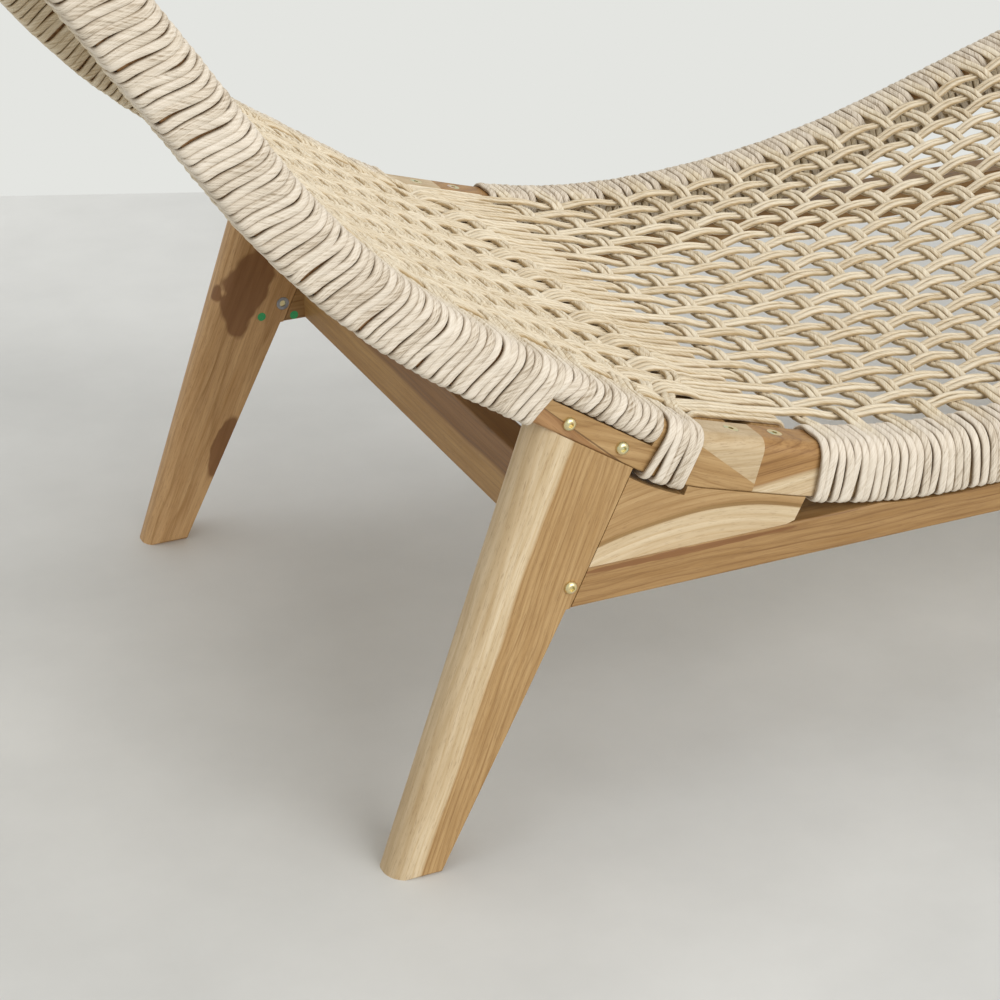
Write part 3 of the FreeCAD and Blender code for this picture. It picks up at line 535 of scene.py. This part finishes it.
def fillers(start, end, pairs, step):
    """Places of the plain turns from start to end, a cord's width apart, between the pairs."""
    edges = [start - step / 2] + [p + k * step for p in pairs if start < p < end for k in (-1, 1)] + [end + step / 2]
    places = []
    for low, high in zip(edges[::2], edges[1::2]):
        count = int(round((high - low) / step))
        places += [low + (k + 0.5) * (high - low) / count for k in range(count)]
    return places


# plain windings, from their first to their last turn along each line
wrapped_pieces = []
for side, word in ((1, "left"), (-1, "right")):
    for line, places, name in (
            (back, [76.75], "back_band_cord_"),
            (back, [rail_turns[-1]], "back_rail_cord_"),
            (seat, fillers(54.6, 873.0, seat_rows, TURN_STEP), "seat_rail_cord_"),
            (seat, fillers(881.0, 970.0, seat_rows, TURN_STEP), "seat_slot_cord_"),
            (seat, fillers(977.7, 1108.8, seat_rows, TURN_STEP), "foot_rail_cord_")):
        cords = Cords()
        winding(cords, SideRail(line, side), places)
        wrapped_pieces.append(cords.make(name + word, "wrapped_cord", name + word))
cords = Cords()
winding(cords, seat_foot, fillers(-EDGE_PLACE, EDGE_PLACE, WARP_AT, CORD_WIDTH + 0.2), CORD_WIDTH)
wrapped_pieces.append(cords.make("seat_foot_cord", "wrapped_cord", "seat_foot_cord"))


# Two round paper stickers beside the nut on the left leg's inner face
DOT_SIDES = 32
DOT_FACES = (-0.1, 0.15)  # the back, just inside the wood, and the front


def paper_dot(name, x, z, radius):
    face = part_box("back_leg_left")[0].y * 1000
    angles = np.linspace(0, 2 * math.pi, DOT_SIDES, endpoint=False)
    ring = [(x + radius * math.cos(a), z + radius * math.sin(a)) for a in angles]
    points = [(px / 1000, (face - thick) / 1000, pz / 1000) for thick in DOT_FACES for px, pz in ring]
    mesh = bpy.data.meshes.new(name)
    mesh.from_pydata(points, [], [tuple(range(DOT_SIDES - 1, -1, -1)), tuple(range(DOT_SIDES, 2 * DOT_SIDES))] + [
        (k, (k + 1) % DOT_SIDES, (k + 1) % DOT_SIDES + DOT_SIDES, k + DOT_SIDES) for k in range(DOT_SIDES)])
    mesh.update()
    piece = bpy.data.objects.new(name, mesh)
    bpy.context.scene.collection.objects.link(piece)
    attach(piece, "root")
    return piece


DOT_RADIUS = 4.0
dots = [paper_dot("paper_dot_leg", -464.6, 213.4, DOT_RADIUS),
        paper_dot("paper_dot_stretcher", -432.8, 209.8, DOT_RADIUS)]


# Materials
def linear(colour):
    """Linear colour from an sRGB hex value."""
    parts = [int(colour[k:k + 2], 16) / 255 for k in (1, 3, 5)]
    return tuple(c / 12.92 if c <= 0.04045 else ((c + 0.055) / 1.055) ** 2.4 for c in parts) + (1.0,)


def add(tree, kind, inputs, ramp=None, **settings):
    """Adds a node with its settings. Each input is a value or another node's output. Gives the node's output."""
    made = tree.nodes.new("ShaderNode" + kind)
    for key, value in settings.items():
        setattr(made, key, value)
    if ramp:
        while len(made.color_ramp.elements) < len(ramp):
            made.color_ramp.elements.new(1)
        for stop, (place, colour) in zip(made.color_ramp.elements, ramp):
            stop.position = place
            stop.color = linear(colour) if isinstance(colour, str) else (colour, colour, colour, 1)
    for socket, value in inputs.items():
        if isinstance(value, bpy.types.NodeSocket):
            tree.links.new(value, made.inputs[socket])
        else:
            made.inputs[socket].default_value = linear(value) if isinstance(value, str) else value
    return next(o for o in made.outputs if o.enabled)


def begin(name):
    material = bpy.data.materials.new(name)
    material.use_nodes = True
    tree = material.node_tree
    return material, tree, tree.nodes["Principled BSDF"]


def dress(piece, material):
    piece.data.materials.clear()
    piece.data.materials.append(material)


def paper_cord(name, weave_tones, rail_window_lit_tones):
    """Cord twisted from strips of paper and left plain: dull and dry, with fine creases that wind round it. Tones are
    light, mid and deep; the deep one is also painted on the cords' sides as shade between them. On the side rails the
    cord is painted less yellow than in the weave between them, standing in for the cool window light that falls there."""
    material, tree, shader = begin(name)
    lay = add(tree, "UVMap", {}, uv_map="lay")
    along = add(tree, "SeparateXYZ", {0: lay})
    split = along.node.outputs
    # creases wind once round in 34 mm, are about 36 mm long, and 13 of them lie side by side round the cord
    twist = add(tree, "Math", {0: split[0], 1: 1 / 0.034, 2: split[1]}, operation="MULTIPLY_ADD")
    crease_long = add(tree, "Math", {0: split[0], 1: 1000 / 36}, operation="MULTIPLY")
    crease_place = add(tree, "CombineXYZ", {0: crease_long, 1: twist})
    crease_place = add(tree, "VectorMath", {0: crease_place, 1: (1, 13, 1)}, operation="MULTIPLY")
    crease = add(tree, "TexNoise", {"Vector": crease_place, "Scale": 1.0, "Detail": 4.0, "Roughness": 0.65})
    tone = add(tree, "Attribute", {}, attribute_name="tone").node.outputs["Fac"]
    blotch = add(tree, "TexNoise", {"Vector": lay, "Scale": 1000 / 40, "Detail": 2.0})
    mixed = add(tree, "Math", {0: add(tree, "Math", {0: crease, 1: 0.5}, operation="MULTIPLY"),
                               1: add(tree, "Math", {0: tone, 1: 0.09}, operation="MULTIPLY")}, operation="ADD")
    mixed = add(tree, "Math", {0: blotch, 1: 0.30, 2: mixed}, operation="MULTIPLY_ADD")
    # painted shade: each cord's two sides, where cords press together, are darkened towards the deep tone as the shade
    # between cords; the face and the underside are not
    beside = split[1]
    for side in (0.5, 0.25):
        beside = add(tree, "Math", {0: beside, 1: side}, operation="SUBTRACT")
        beside = add(tree, "Math", {0: beside}, operation="ABSOLUTE")
    beside = add(tree, "MapRange", {"Value": beside, "From Min": 0.14, "From Max": 0.0, "To Max": 0.9})
    colours = []
    for light, mid, deep in (weave_tones, rail_window_lit_tones):
        plain = add(tree, "ValToRGB", {0: mixed}, ramp=[(0.29, deep), (0.41, mid), (0.53, light)])
        colours.append(add(tree, "Mix", {0: beside, 6: plain, 7: deep}, data_type="RGBA"))
    spot = add(tree, "SeparateXYZ", {0: add(tree, "TexCoord", {}).node.outputs["Object"]}).node.outputs
    # painted light: from the rails' inner faces to their outer ones the cord turns to the rail tones, which stand in
    # for the cool window light on the rails
    on_rail = add(tree, "Math", {0: spot[1]}, operation="ABSOLUTE")
    on_rail = add(tree, "MapRange", {"Value": on_rail, "From Min": 0.280, "From Max": 0.316})
    colour = add(tree, "Mix", {0: on_rail, 6: colours[0], 7: colours[1]}, data_type="RGBA")
    tree.links.new(colour, shader.inputs["Base Color"])
    # two plies
    plies = add(tree, "Math", {0: twist, 1: 6.2832 * 2}, operation="MULTIPLY")
    plies = add(tree, "Math", {0: plies}, operation="SINE")
    relief = add(tree, "Math", {0: plies, 1: 0.34, 2: crease}, operation="MULTIPLY_ADD")
    bump = add(tree, "Bump", {"Height": relief, "Strength": 0.5, "Distance": 0.0014})
    tree.links.new(bump, shader.inputs["Normal"])
    shader.inputs["Roughness"].default_value = 0.78
    shader.inputs["IOR"].default_value = 1.5
    shader.inputs["Specular IOR Level"].default_value = 0.3
    return material


def teak(name, along, toward, reach, sap, heart=("#C1A173", "#9F7C4E"), pale=("#DECDAE", "#CBB38D"), ring=4.6, at=None,
         wave=26.0, bow=0.0, rim=0.0, patches=(), seam=None):
    """Teak, sawn, sanded and oiled: grain lines along the piece, short dark pores, pale sapwood beyond the heart.
    along is the grain. toward points from at, or else from the piece's middle, to the middle of the tree, reach mm
    away. sap is the heart's radius and ring the width of a year's growth, in mm. The grain waves by wave mm and bows
    along its length. rim is how dark the edge of the heart is. patches are dark streaks, each a middle and half its
    size along the grain, across and inward. seam is a glued face, as a point on it and its normal."""
    material, tree, shader = begin(name + "_teak_oiled")
    low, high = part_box(name)
    grain = Vector(along).normalized()
    inward = (Vector(toward) - grain * grain.dot(Vector(toward))).normalized()
    turn = Matrix((grain, inward.cross(grain), inward))
    middle = turn @ (Vector(at) if at else (low + high) * 500)
    spot = add(tree, "TexCoord", {}).node.outputs["Object"]
    place = add(tree, "Mapping", {
        "Vector": spot, "Location": -middle, "Rotation": turn.to_euler(), "Scale": (1000, 1000, 1000)})
    if bow:
        long = add(tree, "SeparateXYZ", {0: place})
        lift = add(tree, "Math", {0: long, 1: long}, operation="MULTIPLY")
        lift = add(tree, "Math", {0: lift, 1: bow}, operation="MULTIPLY")
        place = add(tree, "VectorMath", {0: place, 1: add(tree, "CombineXYZ", {2: lift})}, operation="ADD")
    seed = chance.uniform(0, 500)
    bent = add(tree, "Mapping", {"Vector": place, "Scale": (1 / 170, 1 / 55, 1 / 55), "Location": (seed, 0, 0)})
    bent = add(tree, "TexNoise", {"Vector": bent, "Scale": 1.0, "Detail": 2.0}).node.outputs["Color"]
    pushed = add(tree, "VectorMath", {0: bent, 1: (0, wave, wave), 2: place}, operation="MULTIPLY_ADD")
    from_pith = add(tree, "VectorMath", {0: pushed, 1: (0, 1, 1), 2: (0, -wave / 2, -wave / 2 - reach)},
                    operation="MULTIPLY_ADD")
    radius = add(tree, "VectorMath", {0: from_pith}, operation="LENGTH").node.outputs["Value"]
    growth = add(tree, "TexNoise", {"W": add(tree, "Math", {0: radius, 1: 1 / (3.2 * ring)}, operation="MULTIPLY"),
                                    "Scale": 1.0, "Detail": 1.0}, noise_dimensions="1D")
    phase = add(tree, "Math", {0: growth, 1: 1.8, 2: add(tree, "Math", {0: radius, 1: ring}, operation="DIVIDE")},
                operation="MULTIPLY_ADD")
    line = add(tree, "ValToRGB", {0: add(tree, "Math", {0: phase}, operation="FRACT")},
               ramp=[(0.0, 0.30), (0.45, 0.12), (0.80, 0.55), (0.93, 1.0), (1.0, 0.30)])
    streak = add(tree, "Mapping", {"Vector": place, "Scale": (1 / 90, 1 / 7, 1 / 7), "Location": (0, seed, 0)})
    streak = add(tree, "TexNoise", {"Vector": streak, "Scale": 1.0, "Detail": 3.0})
    fine = add(tree, "Mapping", {"Vector": place, "Scale": (1 / 60, 1 / 1.6, 1 / 1.6), "Location": (0, 0, seed)})
    fine = add(tree, "TexNoise", {"Vector": fine, "Scale": 1.0, "Detail": 3.0})
    fine = add(tree, "MapRange", {"Value": fine, "From Min": 0.45, "From Max": 0.75, "To Max": 0.55})
    mark = add(tree, "Math", {0: line, 1: streak}, operation="MULTIPLY")
    mark = add(tree, "Math", {0: mark, 1: 1.3, 2: fine}, operation="MULTIPLY_ADD", use_clamp=True)
    heart_colour = add(tree, "Mix", {0: mark, 6: heart[0], 7: heart[1]}, data_type="RGBA")
    pale_colour = add(tree, "Mix", {0: mark, 6: pale[0], 7: pale[1]}, data_type="RGBA")
    # the sapwood is palest next to the heart and turns tan towards the bark
    bark = add(tree, "MapRange", {"Value": radius, "From Min": sap + 9, "From Max": sap + 22, "To Max": 0.25})
    pale_colour = add(tree, "Mix", {0: bark, 6: pale_colour, 7: heart[0]}, data_type="RGBA")
    sapwood = add(tree, "MapRange", {"Value": radius, "From Min": sap - 1.5, "From Max": sap + 1.5})
    colour = add(tree, "Mix", {0: sapwood, 6: heart_colour, 7: pale_colour}, data_type="RGBA")
    if rim:
        off = add(tree, "Math", {0: radius, 1: sap - 1.5, 2: 1.6}, operation="COMPARE")
        off = add(tree, "Math", {0: off, 1: rim}, operation="MULTIPLY")
        colour = add(tree, "Mix", {0: off, 6: colour, 7: "#8A6B3A"}, data_type="RGBA")
    for centre, size in patches:
        uneven = add(tree, "TexNoise", {"Vector": spot, "Scale": 1000 / 26, "Detail": 2.0})
        far = add(tree, "VectorMath", {0: place, 1: turn @ Vector(centre) - middle}, operation="SUBTRACT")
        far = add(tree, "VectorMath", {0: far, 1: size}, operation="DIVIDE")
        far = add(tree, "VectorMath", {0: far}, operation="LENGTH").node.outputs["Value"]
        far = add(tree, "Math", {0: uneven, 1: 0.9, 2: far}, operation="MULTIPLY_ADD")
        dark = add(tree, "MapRange", {"Value": far, "From Min": 1.30, "From Max": 1.42, "To Min": 0.88, "To Max": 0.0})
        colour = add(tree, "Mix", {0: dark, 6: colour, 7: "#865C36"}, data_type="RGBA")
    cloud = add(tree, "ValToRGB", {0: streak}, ramp=[(0.25, "#DDD2C0"), (0.75, "#FFFFFF")])
    colour = add(tree, "Mix", {0: 1.0, 6: colour, 7: cloud}, data_type="RGBA", blend_type="MULTIPLY")
    pore = add(tree, "Mapping", {"Vector": place, "Scale": (1 / 9, 1 / 0.55, 1 / 0.55)})
    pore = add(tree, "TexNoise", {"Vector": pore, "Scale": 1.0, "Detail": 2.0})
    pore = add(tree, "ValToRGB", {0: pore}, ramp=[(0.30, 1.0), (0.42, 0.0)])
    pore_shade = add(tree, "Math", {0: pore, 1: 0.4}, operation="MULTIPLY")
    colour = add(tree, "Mix", {0: pore_shade, 6: colour, 7: "#7A5530"}, data_type="RGBA")
    if seam:
        through, facing = (Vector(v) for v in seam)
        off = add(tree, "VectorMath", {0: spot, 1: facing.normalized()}, operation="DOT_PRODUCT").node.outputs["Value"]
        glue = add(tree, "Math", {0: off, 1: through.dot(facing.normalized()) / 1000, 2: 0.0006}, operation="COMPARE")
        glue = add(tree, "Math", {0: glue, 1: 0.75}, operation="MULTIPLY")
        colour = add(tree, "Mix", {0: glue, 6: colour, 7: "#5B3D22"}, data_type="RGBA")
    tree.links.new(colour, shader.inputs["Base Color"])
    tree.links.new(add(tree, "MapRange", {"Value": mark, "To Min": 0.52, "To Max": 0.40}), shader.inputs["Roughness"])
    tree.links.new(add(tree, "Bump", {"Height": pore, "Strength": 0.35, "Distance": -0.0002}), shader.inputs["Normal"])
    shader.inputs["IOR"].default_value = 1.5
    shader.inputs["Specular IOR Level"].default_value = 0.35
    return material


def zinc(name, colours, dull, shiny):
    """Steel, zinc plated and passivated: shiny, in a thin drift of colours, with a fine grain."""
    material, tree, shader = begin(name)
    spot = add(tree, "TexCoord", {}).node.outputs["Object"]
    film = add(tree, "TexNoise", {"Vector": spot, "Scale": 1000 / 8, "Detail": 2.0})
    stops = [(0.32 + 0.38 * k / (len(colours) - 1), colour) for k, colour in enumerate(colours)]
    tree.links.new(add(tree, "ValToRGB", {0: film}, ramp=stops), shader.inputs["Base Color"])
    grainy = add(tree, "TexNoise", {"Vector": spot, "Scale": 1000 / 1.1, "Detail": 2.0})
    rough = add(tree, "MapRange", {"Value": grainy, "To Min": shiny, "To Max": dull})
    tree.links.new(rough, shader.inputs["Roughness"])
    shader.inputs["Metallic"].default_value = 1.0
    return material


def speckled(name, colours, patch, roughness):
    """A dull surface with soft cloudy patches, patch mm wide, for the floor's trowelled screed and the stickers' dyed
    paper."""
    material, tree, shader = begin(name)
    spot = add(tree, "TexCoord", {}).node.outputs["Object"]
    cloud = add(tree, "TexNoise", {"Vector": spot, "Scale": 1000 / patch, "Detail": 6.0, "Roughness": 0.6})
    colour = add(tree, "ValToRGB", {0: cloud}, ramp=[(0.35, colours[0]), (0.65, colours[1])])
    tree.links.new(colour, shader.inputs["Base Color"])
    shader.inputs["Roughness"].default_value = roughness
    return material


# the rail tones are the same cord painted less yellow, standing in for the cool window light on the side rails; the
# wound cord has them all over
WEAVE_TONES = ("#E9DDC5", "#D7C7AA", "#A4895D")
RAIL_WINDOW_LIT_TONES = ("#E5DAC9", "#D3C6B2", "#8F7B60")
woven_cord = paper_cord("paper_cord_woven", WEAVE_TONES, RAIL_WINDOW_LIT_TONES)
wrapped_cord = paper_cord("paper_cord_wound", RAIL_WINDOW_LIT_TONES, RAIL_WINDOW_LIT_TONES)
for piece in woven_pieces:
    dress(piece, woven_cord)
for piece in wrapped_pieces:
    dress(piece, wrapped_cord)
for piece in dots:
    dress(piece, speckled(piece.name + "_dyed", ("#2C9A5C", "#3BAA69"), 1.1, 0.6))

HONEY = ("#C1A070", "#987548")
BROWN = ("#9B754C", "#745333")
RUSSET = ("#AF8C5C", "#876339")
BACK_LEG, FRONT_LEG = (0.40, 0, 0.917), (-0.30, 0, 0.954)
SCARF = ((-428.0, 0, 338.3), (0.66, 0, 0.751))
back_legs = {
    # painted light: the far (left) back leg's heart tones are lighter than the near leg's, to make up for the shade on
    # its inner face
    "left": dict(along=BACK_LEG, toward=(0.3, -1, 0), reach=90, sap=160, heart=("#D6B080", "#AC8454"), ring=8.0,
                 patches=[((-478, 283, 243), (48, 23, 30)), ((-508, 283, 240), (12, 8, 22)),
                          ((-508, 283, 92), (38, 11, 22))]),
    "right": dict(along=(0.33, 0, 0.93), toward=(1, -0.5, 0), reach=52, sap=57, heart=HONEY)}
for word, out in (("left", 1), ("right", -1)):
    side = RAIL_OUTSIDE * out
    woods = {
        "back_leg_": back_legs[word],
        "front_leg_": dict(along=FRONT_LEG, toward=(-1, 0.6 * out, 0), reach=48, sap=55),
        "side_stretcher_": dict(along=(1, 0, 0), toward=(0, 0.3 * out, 1), reach=26, sap=90, heart=RUSSET, ring=6.5,
                                patches=[((-340, side, 232), (110, 12, 2.6))]),
        "joint_gusset_": dict(along=(1, 0, 0), toward=(0, 0, 1), at=(-340, side, 262.5), reach=200, sap=200, ring=9.0,
                              wave=9, bow=0.0018, rim=0.7),
        "back_rail_heel_": dict(along=(-0.96, 0, 0.1), toward=(0, 0.2, -1), reach=60, sap=20,
                                pale=("#D4C4A6", "#B8A27E")),
        "back_rail_middle_": dict(along=(-0.92, 0, 0.39), toward=(0, 1, 0.4), reach=70, sap=160, heart=HONEY,
                                  seam=SCARF),
        "back_rail_upper_": dict(along=(-0.70, 0, 0.71), toward=(0, 1, 0.4), reach=70, sap=160,
                                 heart=("#B48C60", "#916A44")),
        "seat_rail_rear_": dict(along=(1, 0, 0.08), toward=(0, 0.1, 1), at=(-262, side, 276), reach=120, sap=120,
                                heart=("#B68F5C", "#80592E"), wave=10, ring=7.0),
        "seat_rail_front_": dict(along=(0.9, 0, -0.4), toward=(0, 0.4, 1), reach=50, sap=80, heart=HONEY),
    }
    for name, wood in woods.items():
        dress(nodes[name + word], teak(name + word, **wood))
for name, wood in {
        # painted shade and light: the rear cross rail's dark brown heart fills its upper part as the shade under the
        # seat, and its lighter tan band along the lower edge stands in for the light there
        "rear_cross_rail": dict(along=(0, 1, 0), toward=(0.1, 0, 1), reach=20, sap=24, heart=BROWN, wave=10,
                                pale=("#BC9762", "#9F7A49")),
        "front_cross_rail": dict(along=(0, 1, 0), toward=(0.4, 0, -1), reach=40, sap=70, heart=HONEY),
        "back_bottom_rail": dict(along=(0, 1, 0), toward=(1, 0, 0.4), reach=50, sap=90),
        "back_top_rail": dict(along=(0, 1, 0), toward=(1, 0, 0.7), reach=60, sap=90),
        "seat_rear_rail": dict(along=(0, 1, 0), toward=(-1, 0, 0.4), reach=50, sap=90),
        "seat_foot_rail": dict(along=(0, 1, 0), toward=(1, 0, -0.4), reach=60, sap=90)}.items():
    dress(nodes[name], teak(name, **wood))
yellow_zinc = zinc("steel_zinc_plated_yellow", ("#D9B3BE", "#E3CF9C", "#D8CDA0", "#C4D0B4"), 0.42, 0.22)
for name in ("rail_bolts", "stretcher_bolts", "joint_screws"):
    dress(nodes[name], yellow_zinc)
dress(nodes["insert_nuts"], zinc("steel_zinc_plated_clear", ("#8B8C90", "#A2A3A6"), 0.55, 0.35))

# Floor, light and camera
FLOOR_EDGE, EDGE_WAY = Vector((-0.332, 1.235, 0)), Vector((0.930, -0.366, 0)).normalized()
FLOOR_HALF, FLOOR_DEEP = 20, 25  # metres along its far edge to each side, and from there on
near_way = Vector((EDGE_WAY.y, -EDGE_WAY.x, 0))
floor_ends = FLOOR_EDGE - EDGE_WAY * FLOOR_HALF, FLOOR_EDGE + EDGE_WAY * FLOOR_HALF
floor_mesh = bpy.data.meshes.new("floor")
floor_mesh.from_pydata([floor_ends[0], floor_ends[0] + near_way * FLOOR_DEEP,
                        floor_ends[1] + near_way * FLOOR_DEEP, floor_ends[1]], [], [(0, 1, 2, 3)])
floor = bpy.data.objects.new("floor", floor_mesh)
bpy.context.scene.collection.objects.link(floor)
dress(floor, speckled("screed_trowelled_sealed", ("#CDCDC9", "#D8D8D4"), 330.0, 0.6))

world = bpy.data.worlds.new("studio")
bpy.context.scene.world = world
world.use_nodes = True
room = world.node_tree
backdrop = room.nodes["Background"]
# light from all round at a plain level, and a pale backdrop where the camera, a mirror or a glass looks past the floor
ROOM_LEVEL, BACKDROP_LEVEL = 0.71, 1.0
path = add(room, "LightPath", {}).node.outputs
seen = add(room, "Math", {0: path["Is Camera Ray"], 1: path["Is Glossy Ray"]}, operation="ADD")
seen = add(room, "Math", {0: seen, 1: path["Is Transmission Ray"]}, operation="ADD", use_clamp=True)
room.links.new(add(room, "Mix", {0: seen, 6: "#FFFFFF", 7: "#E4E5E1"}, data_type="RGBA"), backdrop.inputs["Color"])
level = add(room, "MapRange", {"Value": seen, "To Min": ROOM_LEVEL, "To Max": BACKDROP_LEVEL})
room.links.new(level, backdrop.inputs["Strength"])


def soft_light(name, toward, wide, level):
    """Light from far off, the same all over the floor. wide is how much of the sky it fills, in degrees."""
    data = bpy.data.lights.new(name, "SUN")
    data.angle = math.radians(wide)
    data.energy = level
    lamp = bpy.data.objects.new(name, data)
    lamp.location = (0, 0, 3)
    lamp.rotation_euler = (-Vector(toward)).to_track_quat("-Z", "Y").to_euler()
    bpy.context.scene.collection.objects.link(lamp)


soft_light("window", (2.0, -6.4, 3.4), 46, 1.65)
soft_light("ceiling", (0.0, 0.2, 3.3), 52, 0.42)

# the camera's place and turn were fitted to the frame in the photo
camera_data = bpy.data.cameras.new("camera")
camera_data.lens = 93.06
camera_data.sensor_width = 36
camera = bpy.data.objects.new("camera", camera_data)
camera.location = (JOINT_X / 1000 + 0.005 - 0.9086, -1.8173, 1.1339)
camera.rotation_euler = (math.radians(63.3443), 0, math.radians(-24.7507))
bpy.context.scene.collection.objects.link(camera)
bpy.context.scene.camera = camera
bpy.context.scene.view_settings.view_transform = "Standard"
